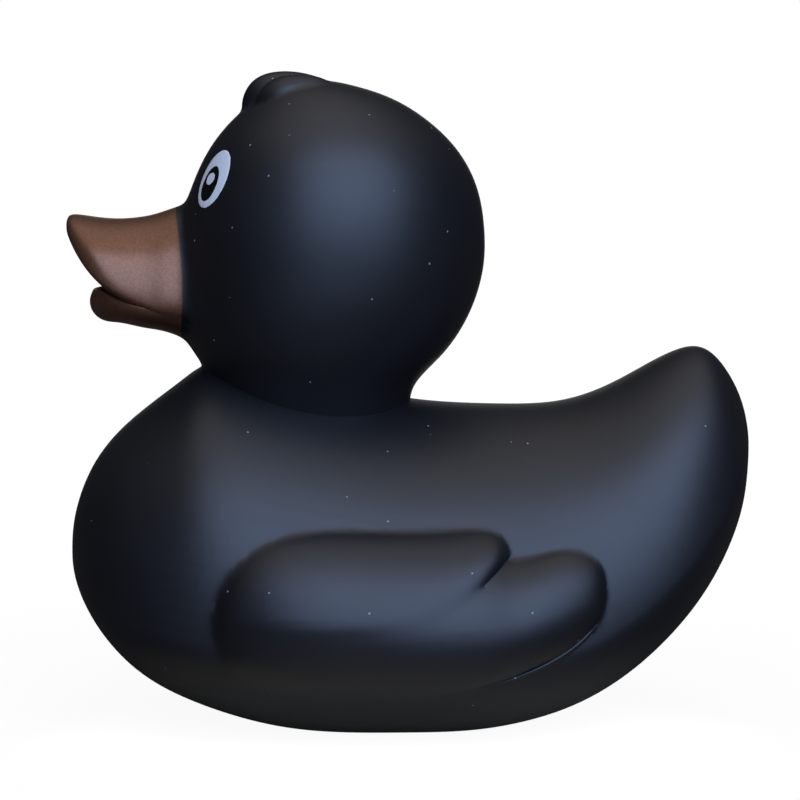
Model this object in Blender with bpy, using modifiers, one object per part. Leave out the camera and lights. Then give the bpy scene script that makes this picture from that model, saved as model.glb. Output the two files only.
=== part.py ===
"""Rubber duck: a hollow soft-vinyl shell with a squeaker pressed into its base.

The duck looks along -X, +Z is up and the Y = 0 plane is its plane of symmetry.
The origin is on the flat base, at the middle of the bounding box.
"""
import math

import bmesh
import bpy
import numpy as np
from mathutils import Matrix, Vector
from mathutils.bvhtree import BVHTree

MM = 0.001

# Moulded shell, in millimetres.
WALL = 2.0
BODY_TURNS = 34
HEAD_TURNS = 30
BILL_TURNS = 20
WING_TURNS = 16
TUFT_TURNS = 12
CAVITY_TURNS = 18

# Body stations from breast to tail: back x, z; keel x, z; half width.
BODY = (
    (-41.7, 22.8, -41.7, 22.8, 0.0),
    (-41.1, 27.4, -40.9, 18.1, 9.4),
    (-38.8, 32.8, -38.4, 13.0, 17.4),
    (-34.2, 38.0, -34.1, 8.5, 23.4),
    (-27.7, 42.8, -28.0, 4.6, 27.7),
    (-19.0, 44.6, -19.0, 1.4, 30.1),
    (-8.5, 43.8, -10.0, -0.1, 31.0),
    (1.6, 41.0, 0.0, -0.3, 30.7),
    (10.6, 39.6, 9.5, -0.1, 29.4),
    (18.6, 40.0, 19.2, 2.4, 27.2),
    (24.8, 41.9, 27.0, 6.7, 24.2),
    (29.5, 44.4, 33.2, 12.3, 20.6),
    (33.2, 46.3, 37.8, 18.4, 16.6),
    (36.8, 46.8, 41.0, 25.1, 12.2),
    (40.0, 43.8, 42.2, 31.2, 7.4),
    (42.3, 38.0, 42.3, 38.0, 0.0),
)
BODY_SAG = 0.45

# Head stations from the neck's root to the crown: front x, z; nape x, z; half width.
HEAD = (
    (-12.5, 34.8, -12.5, 34.8, 0.0),
    (-23.8, 39.8, -1.2, 37.8, 15.6),
    (-25.7, 44.9, 0.9, 42.0, 16.9),
    (-27.7, 48.0, 4.6, 46.2, 17.9),
    (-28.7, 52.0, 7.9, 51.4, 18.8),
    (-28.9, 56.7, 9.5, 56.8, 19.2),
    (-28.4, 61.6, 9.6, 61.8, 19.2),
    (-26.8, 66.8, 8.6, 67.0, 18.2),
    (-24.0, 72.3, 5.4, 72.4, 15.4),
    (-19.9, 76.7, -0.4, 77.0, 10.6),
    (-15.6, 79.3, -6.1, 79.2, 5.6),
    (-10.8, 80.0, -10.8, 80.0, 0.0),
)

# Bill stations from root to tip: top x, z; lip x, z; half width.
UPPER_BILL = (
    (-21.5, 58.0, -21.5, 58.0, 0.0),
    (-23.8, 66.6, -23.6, 49.4, 11.2),
    (-26.4, 65.6, -26.2, 49.6, 10.6),
    (-29.2, 64.2, -29.0, 50.3, 10.1),
    (-32.0, 63.3, -31.8, 51.1, 9.9),
    (-35.6, 62.9, -35.4, 53.0, 9.8),
    (-38.7, 63.1, -38.5, 55.6, 8.9),
    (-41.0, 63.4, -40.6, 58.4, 6.6),
    (-42.1, 63.1, -41.9, 60.8, 3.6),
    (-42.3, 62.0, -42.3, 62.0, 0.0),
)
LOWER_BILL = (
    (-23.0, 49.8, -23.0, 49.8, 0.0),
    (-25.0, 52.4, -25.0, 47.2, 7.0),
    (-29.0, 52.5, -29.0, 48.5, 8.4),
    (-32.6, 52.8, -32.6, 49.3, 8.5),
    (-35.8, 53.6, -35.6, 49.9, 7.6),
    (-38.2, 54.0, -38.0, 50.3, 5.2),
    (-39.4, 52.1, -39.4, 52.1, 0.0),
)
MOUTH = (
    (-31.5, 52.4, -31.5, 52.4, 0.0),
    (-33.5, 54.4, -33.5, 51.4, 6.4),
    (-36.2, 56.6, -35.8, 51.2, 7.2),
    (-38.7, 59.4, -37.6, 52.2, 6.2),
    (-40.5, 61.2, -39.6, 55.4, 4.0),
    (-41.4, 60.8, -41.4, 60.8, 0.0),
)
UPPER_BILL_SAG = 0.55
LOWER_BILL_SAG = -0.4
BILL_LOW_POWER = 2.4

# Wing stations from front to rear: upper edge x, z; lower edge x, z; relief.
REAR_FEATHER = (
    (-22.4, 14.0, -22.4, 14.0, 0.0),
    (-21.4, 18.6, -21.4, 9.6, 1.6),
    (-19.0, 22.0, -19.0, 7.4, 2.5),
    (-14.0, 24.8, -14.0, 6.4, 3.4),
    (-6.6, 25.8, -6.6, 6.4, 3.9),
    (1.8, 25.8, 1.8, 7.0, 4.0),
    (7.0, 25.2, 7.0, 8.2, 3.9),
    (10.4, 24.2, 10.4, 9.2, 3.8),
    (12.8, 23.6, 12.8, 10.1, 3.6),
    (15.6, 24.1, 15.6, 11.2, 3.3),
    (18.9, 24.6, 18.9, 12.8, 2.7),
    (21.6, 23.9, 21.6, 15.1, 2.0),
    (23.0, 22.4, 23.0, 17.4, 1.2),
    (23.5, 20.0, 23.5, 20.0, 0.0),
)
UPPER_FEATHER = (
    (-22.3, 16.0, -22.3, 16.0, 0.0),
    (-21.2, 19.8, -21.2, 11.6, 1.7),
    (-18.4, 23.2, -18.4, 9.2, 2.8),
    (-14.4, 25.7, -14.4, 7.8, 3.6),
    (-8.6, 26.7, -8.6, 7.4, 4.1),
    (-1.0, 26.8, -1.0, 8.6, 4.1),
    (4.0, 26.8, 4.0, 11.4, 4.0),
    (7.2, 26.9, 7.2, 15.4, 3.7),
    (9.6, 26.7, 9.6, 19.8, 3.0),
    (11.2, 25.9, 11.2, 22.6, 1.9),
    (11.9, 24.4, 11.9, 24.4, 0.0),
)
FEATHER_SAG = 0.2
FEATHER_SINK = 0.5

# Lower front of the wing, where its edge fades into the flank.
FADE_DEPTH = 1.6
FADE_REAR = 9.0
FADE_LENGTH = 14.0
FADE_TOP = 17.0
FADE_HEIGHT = 9.0

# Middle lobe of the tuft, combed forward: top x, z; low x, z; half width.
TUFT = (
    (-8.5, 78.6, -8.5, 78.6, 0.0),
    (-10.5, 80.2, -10.5, 76.5, 1.7),
    (-13.5, 81.0, -13.5, 76.5, 2.4),
    (-16.6, 81.0, -16.0, 75.8, 2.6),
    (-19.0, 80.0, -17.8, 74.8, 2.2),
    (-20.3, 78.0, -19.4, 74.4, 1.3),
    (-20.4, 75.8, -20.4, 75.8, 0.0),
)
SIDE_LOBE_BACK = 1.9
SIDE_LOBE_DROP = 0.7
SIDE_LOBE_OUT = 2.9

# Printed eye: a flat oval seen along its axis, standing on the head by the ink's thickness.
# Each field has its middle across and up from the eye's own, half width, half height and rise.
EYE_PLACE = (-23.25, -10.1, 67.99)
EYE_AXIS = (-0.769, -0.516, 0.379)
EYE_SINK = 1.2
EYE_REACH = 4.0
EYE_WHITE = (-0.75, 0.1, 3.25, 3.95, 0.10)
EYE_PUPIL = (-1.05, -0.6, 1.9, 2.45, 0.16)
EYE_GLINT = (-1.15, 0.0, 0.95, 0.85, 0.22)
EYE_STEPS = 20

# Squeaker, a turned plug, and the seat it is pressed into.
SQUEAKER_X = -1.5
PLUG_RADIUS = 4.2
PLUG_BORE = 3.0
PLUG_HEIGHT = 8.0
PLUG_FLOOR = 1.4
BARB_REACH = 0.7
BARB_HEIGHT = 0.8
FLANGE_RADIUS = 5.6
FLANGE_THICKNESS = 1.2
AIR_HOLE_RADIUS = 1.0
RECESS = 0.5
GAP = 0.3
SEAT_WALL = 1.3
ROUND_STEPS = 32

BLOCK_SIZE = 120.0


def closed_curve(knots, per_span):
    """Points of a smooth closed curve through the knots, with curvature that doesn't jump."""
    knots = np.array(knots, dtype=float)
    count = len(knots)
    ahead = np.roll(knots, -1, axis=0)
    behind = np.roll(knots, 1, axis=0)
    unit = np.eye(count)
    system = 4 * unit + np.roll(unit, 1, axis=1) + np.roll(unit, -1, axis=1)
    slopes = np.linalg.solve(system, 3 * (ahead - behind))
    slopes_ahead = np.roll(slopes, -1, axis=0)
    points = []
    for i in range(count):
        for step in range(per_span):
            t = step / per_span
            points.append(
                (2 * t**3 - 3 * t**2 + 1) * knots[i]
                + (t**3 - 2 * t**2 + t) * slopes[i]
                + (3 * t**2 - 2 * t**3) * ahead[i]
                + (t**3 - t**2) * slopes_ahead[i]
            )
    return np.array(points)


def rings_between(stations, per_span):
    """Stations from pole to pole, filled in so that the outline stays one smooth curve."""
    forward = [list(station) for station in stations]
    back = [[s[2], s[3], s[0], s[1], -s[4]] for s in stations[-2:0:-1]]
    rings = closed_curve(forward + back, per_span)
    return rings[: (len(stations) - 1) * per_span + 1]


def section_point(ring, angle, sag, low_power):
    """One point of a section: angle 0 is its top, half a turn is its bottom."""
    top = np.array((ring[0], ring[1]))
    bottom = np.array((ring[2], ring[3]))
    middle = (top + bottom) / 2 - sag * (top - bottom) / 2
    rise = math.cos(angle)
    spread = math.sin(angle)
    if rise >= 0:
        x, z = middle + (top - middle) * rise
        width = spread
    else:
        x, z = middle + (bottom - middle) * (-rise) ** (2 / low_power)
        width = math.copysign(abs(spread) ** (2 / low_power), spread)
    return Vector((x, ring[4] * width, z)) * MM


def add_object(name, mesh_data, collection, material):
    mesh = bpy.data.meshes.new(name)
    bmesh.ops.recalc_face_normals(mesh_data, faces=mesh_data.faces)
    mesh_data.to_mesh(mesh)
    mesh_data.free()
    mesh.shade_smooth()
    mesh.set_sharp_from_angle(angle=math.radians(40))
    obj = bpy.data.objects.new(name, mesh)
    collection.objects.link(obj)
    if material:
        mesh.materials.append(material)
    if collection.name == "duck_cutters":
        obj.hide_render = True
        obj.display_type = "WIRE"
    return obj


def loft(name, stations, per_span, turns, collection, material, sag=0.0, low_power=2.0):
    """A closed soft form through the stations, with a pole at each end."""
    data = bmesh.new()
    rings = rings_between(stations, per_span)
    start = data.verts.new(Vector((rings[0][0], 0, rings[0][1])) * MM)
    end = data.verts.new(Vector((rings[-1][0], 0, rings[-1][1])) * MM)
    loops = []
    for ring in rings[1:-1]:
        angles = [math.tau * k / turns for k in range(turns)]
        loops.append([data.verts.new(section_point(ring, a, sag, low_power)) for a in angles])
    for k in range(turns):
        after = (k + 1) % turns
        data.faces.new((start, loops[0][k], loops[0][after]))
        data.faces.new((end, loops[-1][after], loops[-1][k]))
        for near, far in zip(loops, loops[1:]):
            data.faces.new((near[k], far[k], far[after], near[after]))
    return add_object(name, data, collection, material)


def inset(stations, wall):
    """The same stations with every rail and half width moved in by the wall."""
    inner = []
    for top_x, top_z, low_x, low_z, half in stations[1:-1]:
        across = np.array((top_x - low_x, top_z - low_z))
        step = wall * across / np.linalg.norm(across)
        inner.append((top_x - step[0], top_z - step[1], low_x + step[0], low_z + step[1], half - wall))
    ends = []
    for pole, neighbour in ((stations[0], inner[0]), (stations[-1], inner[-1])):
        away = np.array((neighbour[0] + neighbour[2], neighbour[1] + neighbour[3])) / 2
        inward = away - np.array(pole[:2])
        spot = np.array(pole[:2]) + wall * inward / np.linalg.norm(inward)
        ends.append((spot[0], spot[1], spot[0], spot[1], 0.0))
    return [ends[0]] + inner + [ends[1]]


def share(value):
    return min(max(value, 0.0), 1.0)


def seat_on_flank(obj, tree, side):
    """Bends a flat form in the Y = 0 plane onto one flank of the body."""
    for vertex in obj.data.vertices:
        outside = Vector((vertex.co.x, side, vertex.co.z))
        hit = tree.ray_cast(outside, Vector((0, -side, 0)))[0]
        forward = share((FADE_REAR - vertex.co.x / MM) / FADE_LENGTH)
        down = share((FADE_TOP - vertex.co.z / MM) / FADE_HEIGHT)
        sink = FEATHER_SINK + FADE_DEPTH * forward * down
        vertex.co.y = hit.y + side * (vertex.co.y - sink * MM)
    if side < 0:
        obj.data.flip_normals()


def add_modifier(obj, operation, other):
    cut = obj.modifiers.new(other.name, "BOOLEAN")
    cut.operation = operation
    cut.object = other
    cut.solver = "EXACT"
    cut.material_mode = "TRANSFER"


def eye_field(name, field, material):
    """One printed field of both eyes: the head's own form, raised by the ink, inside an oval."""
    across, up, half_width, half_height, rise = field
    axis = Vector(EYE_AXIS).normalized()
    right = Vector((0, 0, 1)).cross(axis).normalized()
    above = axis.cross(right)
    place = Vector(EYE_PLACE) + across * right + up * above
    data = bmesh.new()
    for side in (1, -1):
        loops = []
        for depth in (-EYE_SINK, EYE_REACH):
            loop = []
            for k in range(EYE_STEPS):
                angle = math.tau * k / EYE_STEPS
                point = place + depth * axis
                point += half_width * math.cos(angle) * right + half_height * math.sin(angle) * above
                point.y *= side
                loop.append(data.verts.new(point * MM))
            loops.append(loop)
        inner, outer = loops
        data.faces.new(inner)
        data.faces.new(outer)
        for k in range(EYE_STEPS):
            after = (k + 1) % EYE_STEPS
            data.faces.new((inner[k], inner[after], outer[after], outer[k]))
    oval = add_object(f"{name}_oval", data, cutters, material)
    ink = loft(name, inset(HEAD, -rise), 3, HEAD_TURNS, cutters, material)
    add_modifier(ink, "INTERSECT", oval)
    return ink


def paint(name, colour, roughness, metallic=0.0):
    material = bpy.data.materials.new(name)
    material.use_nodes = True
    shader = material.node_tree.nodes["Principled BSDF"]
    linear = [((c / 255 + 0.055) / 1.055) ** 2.4 for c in bytes.fromhex(colour)]
    shader.inputs["Base Color"].default_value = (*linear, 1.0)
    shader.inputs["Roughness"].default_value = roughness
    shader.inputs["Metallic"].default_value = metallic
    material.diffuse_color = (*linear, 1.0)
    return material


def turned(name, profile, collection, material):
    """A profile of radius and height pairs, turned about the squeaker's axis."""
    mesh = bpy.data.meshes.new(name)
    points = [(radius * MM, 0.0, height * MM) for radius, height in profile]
    edges = [(k, (k + 1) % len(points)) for k in range(len(points))]
    mesh.from_pydata(points, edges, [])
    obj = bpy.data.objects.new(name, mesh)
    obj.location.x = SQUEAKER_X * MM
    mesh.materials.append(material)
    collection.objects.link(obj)
    screw = obj.modifiers.new("turn", "SCREW")
    screw.steps = ROUND_STEPS
    screw.render_steps = ROUND_STEPS
    screw.use_merge_vertices = True
    screw.merge_threshold = 0.00001
    return obj


def block_below(name, height):
    """A block whose top face lies at the given height."""
    data = bmesh.new()
    bmesh.ops.create_cube(data, size=BLOCK_SIZE * MM)
    bmesh.ops.translate(data, verts=data.verts, vec=(0, 0, (height - BLOCK_SIZE / 2) * MM))
    return add_object(name, data, cutters, None)


def bore(name, radius, height):
    """A round cutter on the squeaker's axis, from below the base up to the given height."""
    data = bmesh.new()
    bmesh.ops.create_cone(
        data,
        cap_ends=True,
        segments=ROUND_STEPS,
        radius1=radius * MM,
        radius2=radius * MM,
        depth=2 * height * MM,
    )
    bmesh.ops.translate(data, verts=data.verts, vec=(SQUEAKER_X * MM, 0, 0))
    return add_object(name, data, cutters, None)


for old in list(bpy.data.objects):
    bpy.data.objects.remove(old)
duck = bpy.data.collections.new("rubber_duck")
cutters = bpy.data.collections.new("duck_cutters")
bpy.context.scene.collection.children.link(duck)
bpy.context.scene.collection.children.link(cutters)

vinyl = paint("black_vinyl", "15171c", 0.45)
bronze = paint("bronze_spray_paint", "6b4c3a", 0.42, 0.55)
white_ink = paint("eye_white_ink", "c6d3de", 0.4)
black_ink = paint("eye_black_ink", "0c0d10", 0.35)
white_plastic = paint("squeaker_plastic", "d8d6cf", 0.5)

shell = loft("duck_shell", BODY, 3, BODY_TURNS, duck, vinyl, BODY_SAG)
head = loft("head", HEAD, 3, HEAD_TURNS, cutters, vinyl)
upper_bill = loft("upper_bill", UPPER_BILL, 3, BILL_TURNS, cutters, bronze, UPPER_BILL_SAG, BILL_LOW_POWER)
lower_bill = loft("lower_bill", LOWER_BILL, 3, BILL_TURNS, cutters, bronze, LOWER_BILL_SAG)
for form in (head, upper_bill, lower_bill):
    add_modifier(shell, "UNION", form)
add_modifier(shell, "DIFFERENCE", loft("mouth", MOUTH, 3, BILL_TURNS, cutters, bronze))

flank = BVHTree.FromPolygons(
    [v.co for v in shell.data.vertices], [list(p.vertices) for p in shell.data.polygons]
)
forms = []
for side, place in ((1, "left"), (-1, "right")):
    for label, stations in (("rear_feather", REAR_FEATHER), ("upper_feather", UPPER_FEATHER)):
        feather = loft(f"{label}_{place}", stations, 3, WING_TURNS, cutters, vinyl, FEATHER_SAG)
        seat_on_flank(feather, flank, side)
        forms.append(feather)
for label, back, drop, out in (
    ("middle", 0.0, 0.0, 0.0),
    ("left", SIDE_LOBE_BACK, SIDE_LOBE_DROP, SIDE_LOBE_OUT),
    ("right", SIDE_LOBE_BACK, SIDE_LOBE_DROP, -SIDE_LOBE_OUT),
):
    lobe = loft(f"tuft_{label}", TUFT, 2, TUFT_TURNS, cutters, vinyl)
    lobe.data.transform(Matrix.Translation(Vector((back, out, -drop)) * MM))
    forms.append(lobe)
for form in forms:
    add_modifier(shell, "UNION", form)

base_wall = RECESS + FLANGE_THICKNESS + GAP + SEAT_WALL
cavity = loft("cavity", inset(BODY, WALL), 1, CAVITY_TURNS, cutters, vinyl, BODY_SAG)
add_modifier(cavity, "UNION", loft("head_cavity", inset(HEAD, WALL), 1, CAVITY_TURNS, cutters, vinyl))
add_modifier(cavity, "DIFFERENCE", block_below("cavity_floor", base_wall))
add_modifier(shell, "DIFFERENCE", cavity)
add_modifier(shell, "DIFFERENCE", block_below("base_plane", 0.0))
add_modifier(shell, "DIFFERENCE", bore("flange_seat", FLANGE_RADIUS + GAP, base_wall - SEAT_WALL))
add_modifier(shell, "DIFFERENCE", bore("plug_hole", PLUG_RADIUS + GAP, base_wall + WALL))
add_modifier(shell, "UNION", eye_field("eye_white", EYE_WHITE, white_ink))
add_modifier(shell, "UNION", eye_field("eye_pupil", EYE_PUPIL, black_ink))
add_modifier(shell, "UNION", eye_field("eye_glint", EYE_GLINT, white_ink))

barb_foot = base_wall + GAP
turned(
    "squeaker",
    (
        (PLUG_RADIUS - BARB_REACH, PLUG_HEIGHT),
        (PLUG_RADIUS + BARB_REACH, barb_foot + BARB_HEIGHT),
        (PLUG_RADIUS + BARB_REACH, barb_foot),
        (PLUG_RADIUS, barb_foot),
        (PLUG_RADIUS, RECESS + FLANGE_THICKNESS),
        (FLANGE_RADIUS, RECESS + FLANGE_THICKNESS),
        (FLANGE_RADIUS, RECESS),
        (AIR_HOLE_RADIUS, RECESS),
        (AIR_HOLE_RADIUS, RECESS + PLUG_FLOOR),
        (PLUG_BORE, RECESS + PLUG_FLOOR),
        (PLUG_BORE, PLUG_HEIGHT),
    ),
    duck,
    white_plastic,
)
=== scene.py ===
import math

import bmesh
import bpy
import numpy as np
from mathutils import Matrix, Vector
from mathutils.bvhtree import BVHTree
from mathutils.kdtree import KDTree


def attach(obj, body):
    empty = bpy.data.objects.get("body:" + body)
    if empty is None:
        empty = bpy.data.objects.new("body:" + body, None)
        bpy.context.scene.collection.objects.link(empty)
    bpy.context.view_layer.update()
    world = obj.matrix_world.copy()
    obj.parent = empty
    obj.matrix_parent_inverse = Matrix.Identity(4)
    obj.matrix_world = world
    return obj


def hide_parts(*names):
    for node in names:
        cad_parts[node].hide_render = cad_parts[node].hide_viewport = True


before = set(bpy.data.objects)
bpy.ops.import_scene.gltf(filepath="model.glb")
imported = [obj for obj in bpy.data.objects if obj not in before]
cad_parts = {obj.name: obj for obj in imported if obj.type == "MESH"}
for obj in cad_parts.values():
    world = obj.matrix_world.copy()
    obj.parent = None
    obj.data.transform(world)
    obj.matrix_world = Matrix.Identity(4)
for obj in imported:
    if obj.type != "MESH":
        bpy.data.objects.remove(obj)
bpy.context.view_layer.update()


# Body of the moulded shell: one soft form from breast to tail, lofted through sections
# that stand across the duck. Sizes are in millimetres, as in the mould drawing.
# Each station gives the back's x and z, the keel's x and z, and the half width.
MM = 0.001
BODY = (
    (-41.7, 22.8, -41.7, 22.8, 0.0),
    (-41.1, 27.4, -40.9, 18.1, 9.4),
    (-38.8, 32.8, -38.4, 13.0, 17.4),
    (-34.2, 38.0, -34.3, 8.1, 23.4),
    (-27.9, 42.9, -28.2, 4.1, 27.7),
    (-22.0, 44.8, -19.0, 0.9, 30.1),
    (-8.5, 42.1, -10.0, -0.4, 31.0),
    (1.6, 40.2, 0.0, -0.5, 30.7),
    (10.6, 39.7, 9.5, -0.1, 29.4),
    (18.6, 40.0, 19.2, 2.2, 27.4),
    (24.8, 41.9, 27.1, 6.5, 25.0),
    (29.5, 44.4, 33.3, 12.1, 22.2),
    (33.2, 46.3, 37.9, 18.3, 18.8),
    (36.8, 46.8, 41.0, 25.1, 14.4),
    (40.0, 43.8, 42.2, 31.2, 8.8),
    (42.3, 38.0, 42.3, 38.0, 0.0),
)
BODY_SAG = 0.45


def closed_curve(knots, per_span):
    """Points of a smooth closed curve through the knots, with curvature that doesn't jump."""
    count = len(knots)
    ahead = np.roll(knots, -1, axis=0)
    behind = np.roll(knots, 1, axis=0)
    unit = np.eye(count)
    system = 4 * unit + np.roll(unit, 1, axis=1) + np.roll(unit, -1, axis=1)
    slopes = np.linalg.solve(system, 3 * (ahead - behind))
    slopes_ahead = np.roll(slopes, -1, axis=0)
    t = (np.arange(per_span) / per_span)[None, :, None]
    spans = (
        (2 * t**3 - 3 * t**2 + 1) * knots[:, None]
        + (t**3 - 2 * t**2 + t) * slopes[:, None]
        + (3 * t**2 - 2 * t**3) * ahead[:, None]
        + (t**3 - t**2) * slopes_ahead[:, None]
    )
    return spans.reshape(count * per_span, -1)


def loft(name, stations, per_span, turns, sag=0.0, low_power=2.0):
    """A closed soft form through the stations, with a pole at each end."""
    back = [(low_x, low_z, top_x, top_z, -half) for top_x, top_z, low_x, low_z, half in stations[-2:0:-1]]
    rings = closed_curve(np.array(list(stations) + back), per_span)[: (len(stations) - 1) * per_span + 1]
    top, low, half = rings[:, None, 0:2], rings[:, None, 2:4], rings[:, None, 4]
    middle = (top + low) / 2 - sag * (top - low) / 2
    angle = np.arange(turns) * math.tau / turns
    rise, spread = np.cos(angle), np.sin(angle)
    power = np.where(rise >= 0, 1.0, 2 / low_power)
    lift = (np.abs(rise) ** power)[None, :, None]
    rails = middle + np.where((rise >= 0)[None, :, None], top - middle, low - middle) * lift
    width = half * (np.sign(spread) * np.abs(spread) ** power)[None, :]
    points = np.stack((rails[..., 0], width, rails[..., 1]), axis=-1)[1:-1].reshape(-1, 3)
    start = len(points)
    ends = [(rings[0][0], 0.0, rings[0][1]), (rings[-1][0], 0.0, rings[-1][1])]
    faces = []
    for k in range(turns):
        after = (k + 1) % turns
        last = start - turns
        faces.append((start, k, after))
        faces.append((start + 1, last + after, last + k))
        for base in range(0, last, turns):
            faces.append((base + k, base + turns + k, base + turns + after, base + after))
    mesh = bpy.data.meshes.new(name)
    mesh.from_pydata(np.vstack((points, ends)) * MM, [], faces)
    data = bmesh.new()
    data.from_mesh(mesh)
    bmesh.ops.recalc_face_normals(data, faces=data.faces)
    data.to_mesh(mesh)
    data.free()
    obj = bpy.data.objects.new(name, mesh)
    bpy.context.scene.collection.objects.link(obj)
    return obj


shell = loft("duck_vinyl", BODY, 8, 96, BODY_SAG)


# Head and neck: a round form on the body's back, of the same moulding. Stations go from
# the neck's root up to the crown: front x and z, nape x and z, half width.
HEAD = (
    (-12.5, 27.0, -12.5, 27.0, 0.0),
    (-21.5, 34.4, -3.6, 32.6, 9.6),
    (-23.8, 39.8, 0.0, 37.8, 12.9),
    (-25.7, 44.9, 0.9, 42.0, 15.5),
    (-27.7, 48.0, 4.6, 46.2, 17.3),
    (-28.7, 52.0, 7.9, 51.4, 18.6),
    (-28.9, 56.7, 9.5, 56.8, 19.2),
    (-28.4, 61.6, 9.6, 61.8, 19.2),
    (-26.8, 66.8, 8.6, 67.0, 18.2),
    (-24.0, 72.3, 5.4, 72.4, 15.4),
    (-19.9, 76.7, -0.4, 77.0, 10.6),
    (-15.6, 79.3, -6.1, 79.2, 5.6),
    (-10.8, 80.0, -10.8, 80.0, 0.0),
)
head = loft("head", HEAD, 8, 88)


# Bill: a broad upper half with a turned-up tip over a shorter lower half, slightly open.
# Stations go from the root to the tip: top x and z, lip x and z, half width.
UPPER_BILL = (
    (-21.5, 58.0, -21.5, 58.0, 0.0),
    (-23.8, 66.6, -23.6, 49.4, 11.2),
    (-26.4, 65.6, -26.2, 49.6, 10.6),
    (-29.2, 64.2, -29.0, 50.3, 10.1),
    (-32.0, 63.3, -31.8, 51.1, 9.9),
    (-35.6, 62.9, -35.4, 53.0, 9.8),
    (-38.7, 63.1, -38.5, 55.6, 8.9),
    (-41.0, 63.4, -40.6, 58.4, 6.6),
    (-42.1, 63.1, -41.9, 60.8, 3.6),
    (-42.3, 62.0, -42.3, 62.0, 0.0),
)
LOWER_BILL = (
    (-23.0, 49.8, -23.0, 49.8, 0.0),
    (-25.0, 52.8, -25.0, 47.2, 7.6),
    (-29.0, 53.2, -29.0, 48.5, 9.5),
    (-32.6, 53.6, -32.6, 49.3, 9.4),
    (-35.8, 54.4, -35.6, 49.9, 8.2),
    (-38.2, 55.0, -38.0, 50.3, 5.6),
    (-39.5, 52.4, -39.5, 52.4, 0.0),
)
MOUTH = (
    (-31.5, 52.4, -31.5, 52.4, 0.0),
    (-33.5, 54.4, -33.5, 51.4, 6.4),
    (-36.2, 56.6, -35.8, 51.2, 7.2),
    (-38.7, 59.4, -37.6, 52.2, 6.2),
    (-40.5, 61.2, -39.6, 55.4, 4.0),
    (-41.4, 60.8, -41.4, 60.8, 0.0),
)
upper_bill = loft("upper_bill", UPPER_BILL, 8, 72, 0.7, 2.6)
lower_bill = loft("lower_bill", LOWER_BILL, 8, 64, -0.4)
mouth = loft("mouth", MOUTH, 8, 48)


# Tuft: three lobes combed forward over the forehead, the middle one in front and the
# side ones broader, set back and out.
TUFT = (
    (-8.5, 78.6, -8.5, 78.6, 0.0),
    (-10.5, 80.2, -10.5, 76.5, 1.7),
    (-13.5, 81.0, -13.5, 76.5, 2.4),
    (-16.6, 81.0, -16.0, 75.8, 2.6),
    (-19.0, 80.0, -17.8, 74.8, 2.2),
    (-20.3, 78.0, -19.4, 74.4, 1.3),
    (-20.4, 75.8, -20.4, 75.8, 0.0),
)
SIDE_LOBE = (
    (-8.4, 78.4, -8.4, 78.4, 0.0),
    (-10.4, 80.2, -10.4, 76.3, 2.2),
    (-13.2, 80.7, -13.2, 75.8, 3.1),
    (-15.7, 80.4, -15.4, 75.4, 3.2),
    (-17.6, 79.3, -17.0, 75.0, 2.6),
    (-18.6, 77.8, -18.3, 75.2, 1.5),
    (-18.8, 76.4, -18.8, 76.4, 0.0),
)
LOBE_OUT = 3.3
tuft = []
for label, stations, out in (("middle", TUFT, 0.0), ("left", SIDE_LOBE, LOBE_OUT), ("right", SIDE_LOBE, -LOBE_OUT)):
    lobe = loft(f"tuft_{label}", stations, 8, 40)
    lobe.data.transform(Matrix.Translation(Vector((0, out, 0)) * MM))
    tuft.append(lobe)


# Wings: a low relief on each flank, an upper feather over a longer rear one. Their upper
# and rear edges stand proud of the flank, and the lower front fades into it.
REAR_FEATHER = (
    (-22.4, 14.0, -22.4, 14.0, 0.0),
    (-21.4, 18.6, -21.4, 9.6, 2.0),
    (-19.0, 22.0, -19.0, 7.4, 3.6),
    (-14.0, 24.8, -14.0, 6.4, 4.8),
    (-6.6, 25.8, -6.6, 6.4, 5.4),
    (1.8, 25.8, 1.8, 7.0, 5.5),
    (7.0, 25.2, 7.0, 8.2, 5.4),
    (10.4, 24.2, 10.4, 9.2, 5.1),
    (12.8, 23.6, 12.8, 10.1, 4.8),
    (15.6, 24.1, 15.6, 11.2, 4.5),
    (18.9, 24.6, 18.9, 12.8, 3.9),
    (21.6, 23.9, 21.6, 15.1, 3.0),
    (23.0, 22.4, 23.0, 17.4, 1.8),
    (23.5, 20.0, 23.5, 20.0, 0.0),
)
UPPER_FEATHER = (
    (-22.6, 16.4, -22.6, 16.4, 0.0),
    (-21.6, 20.6, -21.6, 11.6, 2.2),
    (-18.8, 24.1, -18.8, 9.2, 3.7),
    (-14.6, 26.3, -14.6, 7.8, 4.8),
    (-8.6, 27.0, -8.6, 7.4, 5.4),
    (-1.0, 26.8, -1.0, 8.6, 5.5),
    (4.0, 26.8, 4.0, 11.4, 5.4),
    (7.2, 26.9, 7.2, 15.4, 5.0),
    (9.6, 26.7, 9.6, 19.8, 4.2),
    (11.2, 25.9, 11.2, 22.6, 2.8),
    (11.9, 24.4, 11.9, 24.4, 0.0),
)
LIP_BEAD = (
    (8.2, 8.8, 8.2, 8.8, 0.0),
    (10.6, 9.6, 10.8, 9.1, 0.45),
    (13.5, 10.7, 13.9, 10.0, 0.7),
    (16.3, 12.0, 16.8, 11.2, 0.8),
    (19.1, 13.6, 19.6, 12.9, 0.7),
    (21.1, 15.1, 21.5, 14.6, 0.45),
    (22.5, 16.1, 22.5, 16.1, 0.0),
)
BEAD_SINK = 0.1
FEATHER_SAG = 0.05
FEATHER_SINK = 0.8
FADE_DEPTH = 1.6
FADE_REAR = 9.0
FADE_LENGTH = 14.0
FADE_TOP = 17.0
FADE_HEIGHT = 9.0


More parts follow.
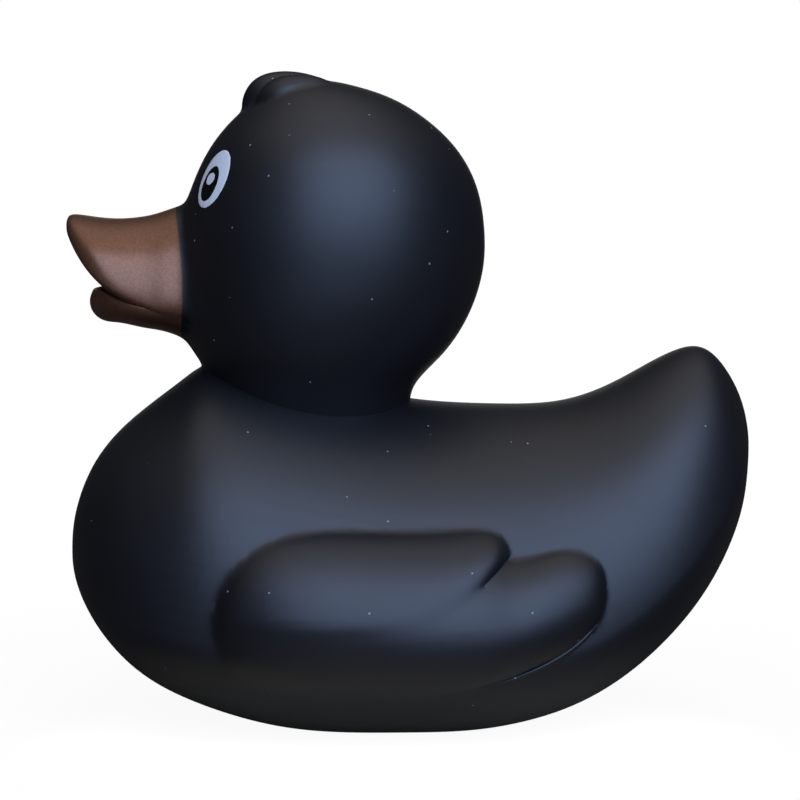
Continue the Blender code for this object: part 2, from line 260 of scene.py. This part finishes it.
def seat_on_flank(obj, tree, side, depth=None):
    """Bends a flat form in the Y = 0 plane onto one flank of the body."""
    for vertex in obj.data.vertices:
        outside = Vector((vertex.co.x, side, vertex.co.z))
        hit = tree.ray_cast(outside, Vector((0, -side, 0)))[0]
        forward = min(max((FADE_REAR - vertex.co.x / MM) / FADE_LENGTH, 0.0), 1.0)
        down = min(max((FADE_TOP - vertex.co.z / MM) / FADE_HEIGHT, 0.0), 1.0)
        sink = FEATHER_SINK + FADE_DEPTH * forward * down if depth is None else depth
        vertex.co.y = hit.y + side * (vertex.co.y - sink * MM)
    if side < 0:
        obj.data.flip_normals()


flank = BVHTree.FromPolygons(
    [v.co for v in shell.data.vertices], [list(p.vertices) for p in shell.data.polygons]
)
feathers = []
for side in (1, -1):
    for mark, stations in (("rear_feather", REAR_FEATHER), ("upper_feather", UPPER_FEATHER)):
        feather = loft("feather", stations, 8, 56, FEATHER_SAG)
        seat_on_flank(feather, flank, side)
        feathers.append((feather, mark))
    bead = loft("lip_bead", LIP_BEAD, 8, 24)
    seat_on_flank(bead, flank, side, BEAD_SINK)
    feathers.append((bead, "lip_bead"))


# The forms become one skin, as the mould gives it. Each form keeps a number of its own until
# the creases between them are found and softened to the radius that the casting shows.
def combine(target, other, operation):
    """Unites or cuts two closed forms for good, and removes the second one."""
    step = target.modifiers.new(other.name, "BOOLEAN")
    step.operation = operation
    step.object = other
    step.solver = "EXACT"
    step.material_mode = "TRANSFER"
    mesh = bpy.data.meshes.new_from_object(target.evaluated_get(bpy.context.evaluated_depsgraph_get()))
    target.modifiers.clear()
    target.data = mesh
    bpy.data.objects.remove(other)


marks = {}
forms = [(shell, "body"), (head, "head"), (upper_bill, "bill"), (lower_bill, "bill"), (mouth, "mouth")]
for form, mark in forms + [(lobe, "tuft") for lobe in tuft] + feathers:
    if mark not in marks:
        marks[mark] = bpy.data.materials.new(mark)
    form.data.materials.append(marks[mark])
for form in [head, upper_bill, lower_bill] + tuft + [feather for feather, mark in feathers]:
    combine(shell, form, "UNION")
combine(shell, mouth, "DIFFERENCE")

CREASE_RADIUS = {
    ("body", "head"): 1.5,
    ("bill", "head"): 2.6,
    ("head", "tuft"): 0.35,
    ("body", "rear_feather"): 0.5,
    ("body", "upper_feather"): 0.5,
    ("rear_feather", "upper_feather"): 1.5,
}
# The neck's crease is rounded at the throat and sharp along both flanks: in x, where the
# rounding has its full radius and where it ends.
THROAT = (-25.4, -24.0)
# Where the upper feather's edge stays a crisp slit, in x: from its mouth to where it runs out.
SLIT = (6.8, 8.8)
# Where the wing's edge is crisp, and where it has faded into the breast.
WING_EDGE = (-6.0, -20.0)
WING_FADE_RADIUS = 1.8
WELD = 0.02
REFINED_EDGE = 0.45
BLOCK_SIZE = 120.0
REACH = 2.2
OUTER_EDGE = 0.9
OUTER_REACH = 5.0


def soften(obj, radii):
    """Rounds the creases between forms by smoothing a finer mesh in a band along each."""
    names = [m.name for m in obj.data.materials]
    data = bmesh.new()
    data.from_mesh(obj.data)
    bmesh.ops.remove_doubles(data, verts=data.verts, dist=WELD * MM)
    bmesh.ops.triangulate(data, faces=data.faces)
    crease = []
    for edge in data.edges:
        if len(edge.link_faces) != 2:
            continue
        pair = tuple(sorted(names[f.material_index] for f in edge.link_faces))
        if pair not in radii:
            continue
        middle = (edge.verts[0].co + edge.verts[1].co) / 2
        radius = radii[pair]
        if pair == ("rear_feather", "upper_feather"):
            radius *= min(max((SLIT[1] - middle.x / MM) / (SLIT[1] - SLIT[0]), 0.0), 1.0)
        elif pair == ("body", "head"):
            throat = (THROAT[1] - middle.x / MM) / (THROAT[1] - THROAT[0])
            radius *= min(max(throat, 0.0), 1.0)
        elif pair[0] == "body":
            forward = (WING_EDGE[0] - middle.x / MM) / (WING_EDGE[0] - WING_EDGE[1])
            radius += (WING_FADE_RADIUS - radius) * min(max(forward, 0.0), 1.0)
        if radius > 0.1:
            crease.append((middle, radius * MM))
    near = KDTree(len(crease))
    for i, (middle, radius) in enumerate(crease):
        near.insert(middle, i)
    near.balance()

    def pull(point):
        spot, i, distance = near.find(point)
        radius = crease[i][1]
        share = min(max(1.0 - distance / (REACH * radius), 0.0), 1.0)
        edge = max(REFINED_EDGE * MM, radius / 3) if share > 0 else OUTER_EDGE * MM
        return share * share * (3 - 2 * share), edge if distance < OUTER_REACH * radius else BLOCK_SIZE

    for _ in range(3):
        long_edges = []
        for edge in data.edges:
            middle = (edge.verts[0].co + edge.verts[1].co) / 2
            if edge.calc_length() > pull(middle)[1]:
                long_edges.append(edge)
        bmesh.ops.subdivide_edges(data, edges=long_edges, cuts=1)
        bmesh.ops.triangulate(data, faces=[f for f in data.faces if len(f.verts) > 3])
    data.verts.index_update()
    places = np.array([v.co for v in data.verts])
    weights = np.array([pull(v.co) for v in data.verts])
    links = np.array([(e.verts[0].index, e.verts[1].index) for e in data.edges])
    touched = (weights[links[:, 0], 0] > 0) | (weights[links[:, 1], 0] > 0)
    links = links[touched]
    count = np.bincount(links.ravel(), minlength=len(places)).clip(1)
    passes = 14
    for _ in range(passes):
        total = np.zeros_like(places)
        np.add.at(total, links[:, 0], places[links[:, 1]])
        np.add.at(total, links[:, 1], places[links[:, 0]])
        move = total / count[:, None] - places
        move[weights[:, 0] <= 0] = 0
        places += 0.5 * weights[:, :1] * move
    for vertex, place in zip(data.verts, places):
        vertex.co = place
    data.to_mesh(obj.data)
    data.free()


soften(shell, CREASE_RADIUS)


# Hollow inside, the flat base and the squeaker's seat: the wall is about 2 mm everywhere,
# and the base is a little thicker, where a flange recess and a hole take the squeaker.
WALL = 2.0
SQUEAKER_X = -1.5
PLUG_RADIUS = 4.2
FLANGE_RADIUS = 5.6
FLANGE_THICKNESS = 1.2
RECESS = 0.5
GAP = 0.3
SEAT_WALL = 1.3
ROUND_STEPS = 96


def inset(stations, wall):
    """The same stations with every rail and half width moved in by the wall."""
    inner = []
    for top_x, top_z, low_x, low_z, half in stations[1:-1]:
        across = np.array((top_x - low_x, top_z - low_z))
        step = wall * across / np.linalg.norm(across)
        inner.append((top_x - step[0], top_z - step[1], low_x + step[0], low_z + step[1], half - wall))
    ends = []
    for pole, neighbour in ((stations[0], inner[0]), (stations[-1], inner[-1])):
        away = np.array((neighbour[0] + neighbour[2], neighbour[1] + neighbour[3])) / 2
        inward = away - np.array(pole[:2])
        spot = np.array(pole[:2]) + wall * inward / np.linalg.norm(inward)
        ends.append((spot[0], spot[1], spot[0], spot[1], 0.0))
    return [ends[0]] + inner + [ends[1]]


def block_below(height):
    """A block whose top face lies at the given height."""
    data = bmesh.new()
    bmesh.ops.create_cube(data, size=BLOCK_SIZE * MM)
    bmesh.ops.translate(data, verts=data.verts, vec=(0, 0, (height - BLOCK_SIZE / 2) * MM))
    mesh = bpy.data.meshes.new("block")
    data.to_mesh(mesh)
    data.free()
    obj = bpy.data.objects.new("block", mesh)
    bpy.context.scene.collection.objects.link(obj)
    return obj


def bore(radius, height):
    """A round cutter on the squeaker's axis, from below the base up to the given height."""
    data = bmesh.new()
    bmesh.ops.create_cone(
        data,
        cap_ends=True,
        segments=ROUND_STEPS,
        radius1=radius * MM,
        radius2=radius * MM,
        depth=2 * height * MM,
    )
    bmesh.ops.translate(data, verts=data.verts, vec=(SQUEAKER_X * MM, 0, 0))
    mesh = bpy.data.meshes.new("bore")
    data.to_mesh(mesh)
    data.free()
    obj = bpy.data.objects.new("bore", mesh)
    bpy.context.scene.collection.objects.link(obj)
    return obj


base_wall = RECESS + FLANGE_THICKNESS + GAP + SEAT_WALL
cavity = loft("cavity", inset(BODY, WALL), 2, 40, BODY_SAG)
combine(cavity, loft("head_cavity", inset(HEAD, WALL), 2, 40), "UNION")
combine(cavity, block_below(base_wall), "DIFFERENCE")
combine(shell, cavity, "DIFFERENCE")
combine(shell, block_below(0.0), "DIFFERENCE")
combine(shell, bore(FLANGE_RADIUS + GAP, base_wall - SEAT_WALL), "DIFFERENCE")
combine(shell, bore(PLUG_RADIUS + GAP, base_wall + WALL), "DIFFERENCE")


# Soft PVC, matt black as it leaves the mould: a broad soft sheen, fine grain from the mould and
# a few specks of dust. The bill is sprayed with bronze flake paint up to the edge of a mask.
VINYL_BLACK = "0b0c10"
VINYL_ROUGHNESS = 0.48
DUST_PALE = "8f949c"
BRONZE = "8c5e40"
BRONZE_DARK = "774e36"


def colour(value):
    """An sRGB hex value as the linear colour that a socket takes."""
    return [((c / 255 + 0.055) / 1.055) ** 2.4 if c > 10 else c / 255 / 12.92 for c in bytes.fromhex(value)] + [1.0]


def node(tree, kind, links=None, **settings):
    """Adds a node; settings are its properties, or its inputs where their name starts with in_."""
    made = tree.nodes.new(kind)
    for key, value in settings.items():
        if key.startswith("in_"):
            made.inputs[int(key[3:]) if key[3:].isdigit() else key[3:].replace("_", " ")].default_value = value
        else:
            setattr(made, key, value)
    for key, source in (links or {}).items():
        tree.links.new(source, made.inputs[key])
    return made


def blend(tree, factor, low, high):
    """Mixes two colours, each a hex value or a socket."""
    mix = node(tree, "ShaderNodeMix", data_type="RGBA", links={0: factor})
    for slot, value in ((6, low), (7, high)):
        if isinstance(value, str):
            mix.inputs[slot].default_value = colour(value)
        else:
            tree.links.new(value, mix.inputs[slot])
    return mix.outputs[2]


vinyl = bpy.data.materials.new("soft_pvc_moulded")
vinyl.use_nodes = True
tree = vinyl.node_tree
shader = tree.nodes["Principled BSDF"]
shader.inputs["Specular IOR Level"].default_value = 0.75
place = node(tree, "ShaderNodeTexCoord").outputs["Object"]
apart = node(tree, "ShaderNodeSeparateXYZ", links={0: place})

# Mask of the bronze: in front of a shallow arc across the bill's root, and above the breast.
PAINT_EDGE = -27.4
PAINT_ARC = 0.014
PAINT_MIDDLE = 54.5
PAINT_SOFT = 0.12
PAINT_GLOSS = 0.12
BILL_BOTTOM = 44.0


def maths(tree, operation, first, second):
    """One sum; each side is a number or a socket."""
    made = node(tree, "ShaderNodeMath", operation=operation)
    for slot, value in enumerate((first, second)):
        if isinstance(value, (int, float)):
            made.inputs[slot].default_value = value
        else:
            tree.links.new(value, made.inputs[slot])
    return made.outputs[0]


x_mm = maths(tree, "DIVIDE", apart.outputs["X"], MM)
z_mm = maths(tree, "DIVIDE", apart.outputs["Z"], MM)
off_middle = maths(tree, "SUBTRACT", z_mm, PAINT_MIDDLE)
arc = maths(tree, "MULTIPLY", maths(tree, "MULTIPLY", off_middle, off_middle), PAINT_ARC)
ahead = maths(tree, "SUBTRACT", maths(tree, "SUBTRACT", PAINT_EDGE, arc), x_mm)
in_front = node(
    tree, "ShaderNodeMapRange", in_From_Min=-PAINT_SOFT, in_From_Max=PAINT_SOFT, links={"Value": ahead}
).outputs[0]
painted = maths(tree, "MULTIPLY", in_front, maths(tree, "GREATER_THAN", z_mm, BILL_BOTTOM))

# Dust: points spread through space, of which those that fall on the skin show.
DUST_SPACING = 2.4
DUST_RADIUS = 0.13
DUST_SHARE = 0.4
specks = node(tree, "ShaderNodeTexVoronoi", in_Scale=1 / (DUST_SPACING * MM), links={"Vector": place})
kept = maths(tree, "LESS_THAN", node(tree, "ShaderNodeSeparateColor", links={0: specks.outputs["Color"]}).outputs[0], DUST_SHARE)
near_speck = maths(tree, "LESS_THAN", specks.outputs["Distance"], DUST_RADIUS / DUST_SPACING)
dust = maths(tree, "MULTIPLY", kept, near_speck)

# Bronze flake: a fine random sparkle in colour.
FLAKE_SIZE = 0.16
flake = node(tree, "ShaderNodeTexVoronoi", in_Scale=1 / (FLAKE_SIZE * MM), links={"Vector": place})
sparkle = node(tree, "ShaderNodeSeparateColor", links={0: flake.outputs["Color"]}).outputs[1]
bronze = blend(tree, sparkle, BRONZE_DARK, BRONZE)
dusty = blend(tree, dust, VINYL_BLACK, DUST_PALE)
tree.links.new(blend(tree, painted, dusty, bronze), shader.inputs["Base Color"])
tree.links.new(maths(tree, "MULTIPLY", painted, 0.55), shader.inputs["Metallic"])

# The vinyl's gloss wanders a little over the skin, as handled vinyl's does.
wander = node(tree, "ShaderNodeTexNoise", in_Scale=90.0, in_Detail=4.0, links={"Vector": place})
gloss = node(
    tree,
    "ShaderNodeMapRange",
    in_To_Min=VINYL_ROUGHNESS - 0.04,
    in_To_Max=VINYL_ROUGHNESS + 0.04,
    links={"Value": wander.outputs[0]},
)
sprayed = maths(tree, "MULTIPLY", painted, PAINT_GLOSS)
tree.links.new(maths(tree, "SUBTRACT", gloss.outputs[0], sprayed), shader.inputs["Roughness"])
GRAIN_SIZE = 0.22
grain = node(tree, "ShaderNodeTexNoise", in_Scale=1 / (GRAIN_SIZE * MM), in_Detail=2.0, links={"Vector": place})
relief = node(tree, "ShaderNodeBump", in_Strength=0.25, in_Distance=0.00002, links={"Height": grain.outputs[0]})
tree.links.new(relief.outputs[0], shader.inputs["Normal"])

shell.data.materials.clear()
shell.data.materials.append(vinyl)
for polygon in shell.data.polygons:
    polygon.material_index = 0


# Printed eyes: three ovals of ink on each side, laid on the head along the eye's own axis.
# Each oval has its middle across and up from the eye's, half width, half height and rise.
EYE_PLACE = (-23.25, -10.1, 67.99)
EYE_AXIS = (-0.769, -0.516, 0.379)
EYE_WHITE = (-0.75, 0.1, 3.25, 3.95, 0.03)
EYE_PUPIL = (-1.05, -0.6, 1.9, 2.45, 0.05)
EYE_GLINT = (-1.15, 0.0, 0.95, 0.85, 0.07)
EYE_RINGS = 12
EYE_STEPS = 72

skin = BVHTree.FromPolygons(
    [v.co for v in shell.data.vertices], [list(p.vertices) for p in shell.data.polygons]
)


def ink(name, value, roughness):
    """Pad-printing ink: a flat colour with a faint gloss."""
    material = bpy.data.materials.new(name)
    material.use_nodes = True
    body = material.node_tree.nodes["Principled BSDF"]
    body.inputs["Base Color"].default_value = colour(value)
    body.inputs["Roughness"].default_value = roughness
    return material


def print_oval(field, slot):
    """Adds one oval of ink on both sides of the head to the shell's mesh."""
    across, up, half_width, half_height, rise = field
    axis = Vector(EYE_AXIS).normalized()
    right = Vector((0, 0, 1)).cross(axis).normalized()
    above = axis.cross(right)
    centre = Vector(EYE_PLACE) + across * right + up * above
    data = bmesh.new()
    data.from_mesh(shell.data)
    for side in (1, -1):
        rings = []
        for k in range(EYE_RINGS + 1):
            reach = k / EYE_RINGS
            ring = []
            for step in range(EYE_STEPS if k else 1):
                angle = math.tau * step / EYE_STEPS
                spot = centre + reach * half_width * math.cos(angle) * right
                spot += reach * half_height * math.sin(angle) * above
                hit, normal = skin.ray_cast((spot + 5 * axis) * MM, -axis)[:2]
                hit += normal * (rise if k < EYE_RINGS else -rise) * MM
                hit.y *= side
                ring.append(data.verts.new(hit))
            rings.append(ring)
        faces = [(rings[0][0], rings[1][k], rings[1][(k + 1) % EYE_STEPS]) for k in range(EYE_STEPS)]
        for inner, outer in zip(rings[1:], rings[2:]):
            for k in range(EYE_STEPS):
                after = (k + 1) % EYE_STEPS
                faces.append((inner[k], outer[k], outer[after], inner[after]))
        for corners in faces:
            face = data.faces.new(corners if side > 0 else corners[::-1])
            face.material_index = slot
    data.to_mesh(shell.data)
    data.free()


white_ink = ink("white_printing_ink", "fcfdfc", 0.35)
black_ink = ink("black_printing_ink", "08080a", 0.3)
shell.data.materials.append(white_ink)
shell.data.materials.append(black_ink)
print_oval(EYE_WHITE, 1)
print_oval(EYE_PUPIL, 2)
print_oval(EYE_GLINT, 1)
shell.data.shade_smooth()
shell.data.set_sharp_from_angle(angle=math.radians(38))
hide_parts("duck_shell")
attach(shell, "root")


# Squeaker: plain moulded plastic, a little mottled.
SQUEAKER_PALE = "dedbd2"
SQUEAKER_SHADE = "cfcbc0"
plastic = bpy.data.materials.new("moulded_polyethylene")
plastic.use_nodes = True
tree = plastic.node_tree
mottle = node(
    tree,
    "ShaderNodeTexNoise",
    in_Scale=400.0,
    links={"Vector": node(tree, "ShaderNodeTexCoord").outputs["Object"]},
)
shader = tree.nodes["Principled BSDF"]
tree.links.new(blend(tree, mottle.outputs[0], SQUEAKER_SHADE, SQUEAKER_PALE), shader.inputs["Base Color"])
shader.inputs["Roughness"].default_value = 0.5
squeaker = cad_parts["squeaker"]
squeaker.data.materials.clear()
squeaker.data.materials.append(plastic)


# Floor, light and camera: a pale floor, a tall cool window to the right of the camera,
# and a long lens a little above the duck, square to its side.
CAMERA_ELEVATION = 5.0
CAMERA_DISTANCE = 0.42
FRAME_WIDTH = 0.1
AIM = Vector((-0.000875, 0.0, 0.0402))

bpy.context.scene.view_settings.view_transform = "Standard"


def background_rays(tree, direction):
    """1 for rays that show the white background: the camera's, and sharp ones going behind the duck."""
    rays = node(tree, "ShaderNodeLightPath")
    sharp = node(
        tree,
        "ShaderNodeMath",
        operation="MAXIMUM",
        links={0: rays.outputs["Is Glossy Ray"], 1: rays.outputs["Is Transmission Ray"]},
    )
    apart = node(tree, "ShaderNodeSeparateXYZ", links={0: direction})
    behind = node(
        tree,
        "ShaderNodeMapRange",
        interpolation_type="SMOOTHSTEP",
        in_From_Min=BEHIND[0],
        in_From_Max=BEHIND[1],
        links={"Value": apart.outputs["Y"]},
    )
    sharp = node(tree, "ShaderNodeMath", operation="MULTIPLY", links={0: sharp.outputs[0], 1: behind.outputs[0]})
    return node(
        tree, "ShaderNodeMath", operation="MAXIMUM", links={0: rays.outputs["Is Camera Ray"], 1: sharp.outputs[0]}
    ).outputs[0]


BEHIND = (0.96, 0.99)
floor_mesh = bpy.data.meshes.new("floor")
floor_mesh.from_pydata([(-2, -2, 0), (2, -2, 0), (2, 2, 0), (-2, 2, 0)], [], [(0, 1, 2, 3)])
floor = bpy.data.objects.new("floor", floor_mesh)
bpy.context.scene.collection.objects.link(floor)
pale = bpy.data.materials.new("pale_floor")
pale.use_nodes = True
tree = pale.node_tree
matt = tree.nodes["Principled BSDF"]
matt.inputs["Roughness"].default_value = 0.9
matt.inputs["Specular IOR Level"].default_value = 0.0
place = node(tree, "ShaderNodeTexCoord").outputs["Object"]
# The floor's own colour is a painted pool of light: pale and warm in a small patch just in front of the duck and
# dark further out. The duck's underside mirrors and takes bounce from that painted light, and its sides mirror
# painted shade. Camera rays see the floor white from its glow.
painted_pool_distance = node(
    tree,
    "ShaderNodeVectorMath",
    operation="DISTANCE",
    in_1=(-0.001, -0.02, 0.0),
    links={0: place},
)
near = node(
    tree,
    "ShaderNodeMapRange",
    interpolation_type="SMOOTHSTEP",
    in_From_Min=0.012,
    in_From_Max=0.05,
    links={"Value": painted_pool_distance.outputs["Value"]},
)
tree.links.new(blend(tree, near.outputs[0], "d2be9c", "564f48"), matt.inputs["Base Color"])
toward = node(tree, "ShaderNodeVectorMath", operation="NORMALIZE", links={0: place})
radius = node(tree, "ShaderNodeVectorMath", operation="LENGTH", links={0: place})
lift = node(
    tree,
    "ShaderNodeMapRange",
    in_From_Min=0.0,
    in_From_Max=0.3,
    in_To_Min=0.93,
    in_To_Max=1.0,
    links={"Value": radius.outputs["Value"]},
)
seen = background_rays(tree, toward.outputs[0])
strength = node(tree, "ShaderNodeMath", operation="MULTIPLY", links={0: seen, 1: lift.outputs[0]})
glow = node(tree, "ShaderNodeEmission", links={"Strength": strength.outputs[0]})
both = node(tree, "ShaderNodeAddShader", links={0: matt.outputs[0], 1: glow.outputs[0]})
tree.links.new(both.outputs[0], tree.nodes["Material Output"].inputs["Surface"])
floor_mesh.materials.append(pale)

ROOM_DIM = 0.035
CEILING_PALE = 1.1
world = bpy.data.worlds.new("studio")
bpy.context.scene.world = world
world.use_nodes = True
tree = world.node_tree
room = tree.nodes["Background"]
room.inputs["Color"].default_value = colour("d8d2cc")
skyward = node(tree, "ShaderNodeSeparateXYZ", links={0: node(tree, "ShaderNodeTexCoord").outputs["Generated"]})
ceiling = node(
    tree,
    "ShaderNodeMapRange",
    interpolation_type="SMOOTHERSTEP",
    in_From_Min=0.55,
    in_From_Max=1.1,
    in_To_Min=ROOM_DIM,
    in_To_Max=CEILING_PALE,
    links={"Value": skyward.outputs["Z"]},
)
tree.links.new(ceiling.outputs[0], room.inputs["Strength"])
white = node(tree, "ShaderNodeBackground", in_Color=colour("ffffff"), in_Strength=1.0)
seen = background_rays(tree, node(tree, "ShaderNodeTexCoord").outputs["Generated"])
both = node(tree, "ShaderNodeMixShader", links={0: seen, 1: room.outputs[0], 2: white.outputs[0]})
tree.links.new(both.outputs[0], tree.nodes["World Output"].inputs["Surface"])


def area_light(name, direction, distance, width, height, power, tint):
    """A soft box that faces the duck from the given direction."""
    lamp = bpy.data.lights.new(name, "AREA")
    lamp.shape = "RECTANGLE"
    lamp.size = width
    lamp.size_y = height
    lamp.energy = power
    lamp.color = colour(tint)[:3]
    obj = bpy.data.objects.new(name, lamp)
    toward = Vector(direction).normalized()
    obj.location = AIM + toward * distance
    obj.rotation_euler = toward.to_track_quat("Z", "Y").to_euler()
    bpy.context.scene.collection.objects.link(obj)


area_light("window", (0.225, -0.795, 0.563), 0.9, 1.2, 1.05, 13.0, "b4ceff")

lens = bpy.data.cameras.new("camera")
lens.sensor_width = 36
lens.lens = lens.sensor_width * CAMERA_DISTANCE / FRAME_WIDTH
camera = bpy.data.objects.new("camera", lens)
rise = math.radians(CAMERA_ELEVATION)
away = Vector((0, -math.cos(rise), math.sin(rise)))
camera.location = AIM + away * CAMERA_DISTANCE
camera.rotation_euler = away.to_track_quat("Z", "Y").to_euler()
bpy.context.scene.collection.objects.link(camera)
bpy.context.scene.camera = camera
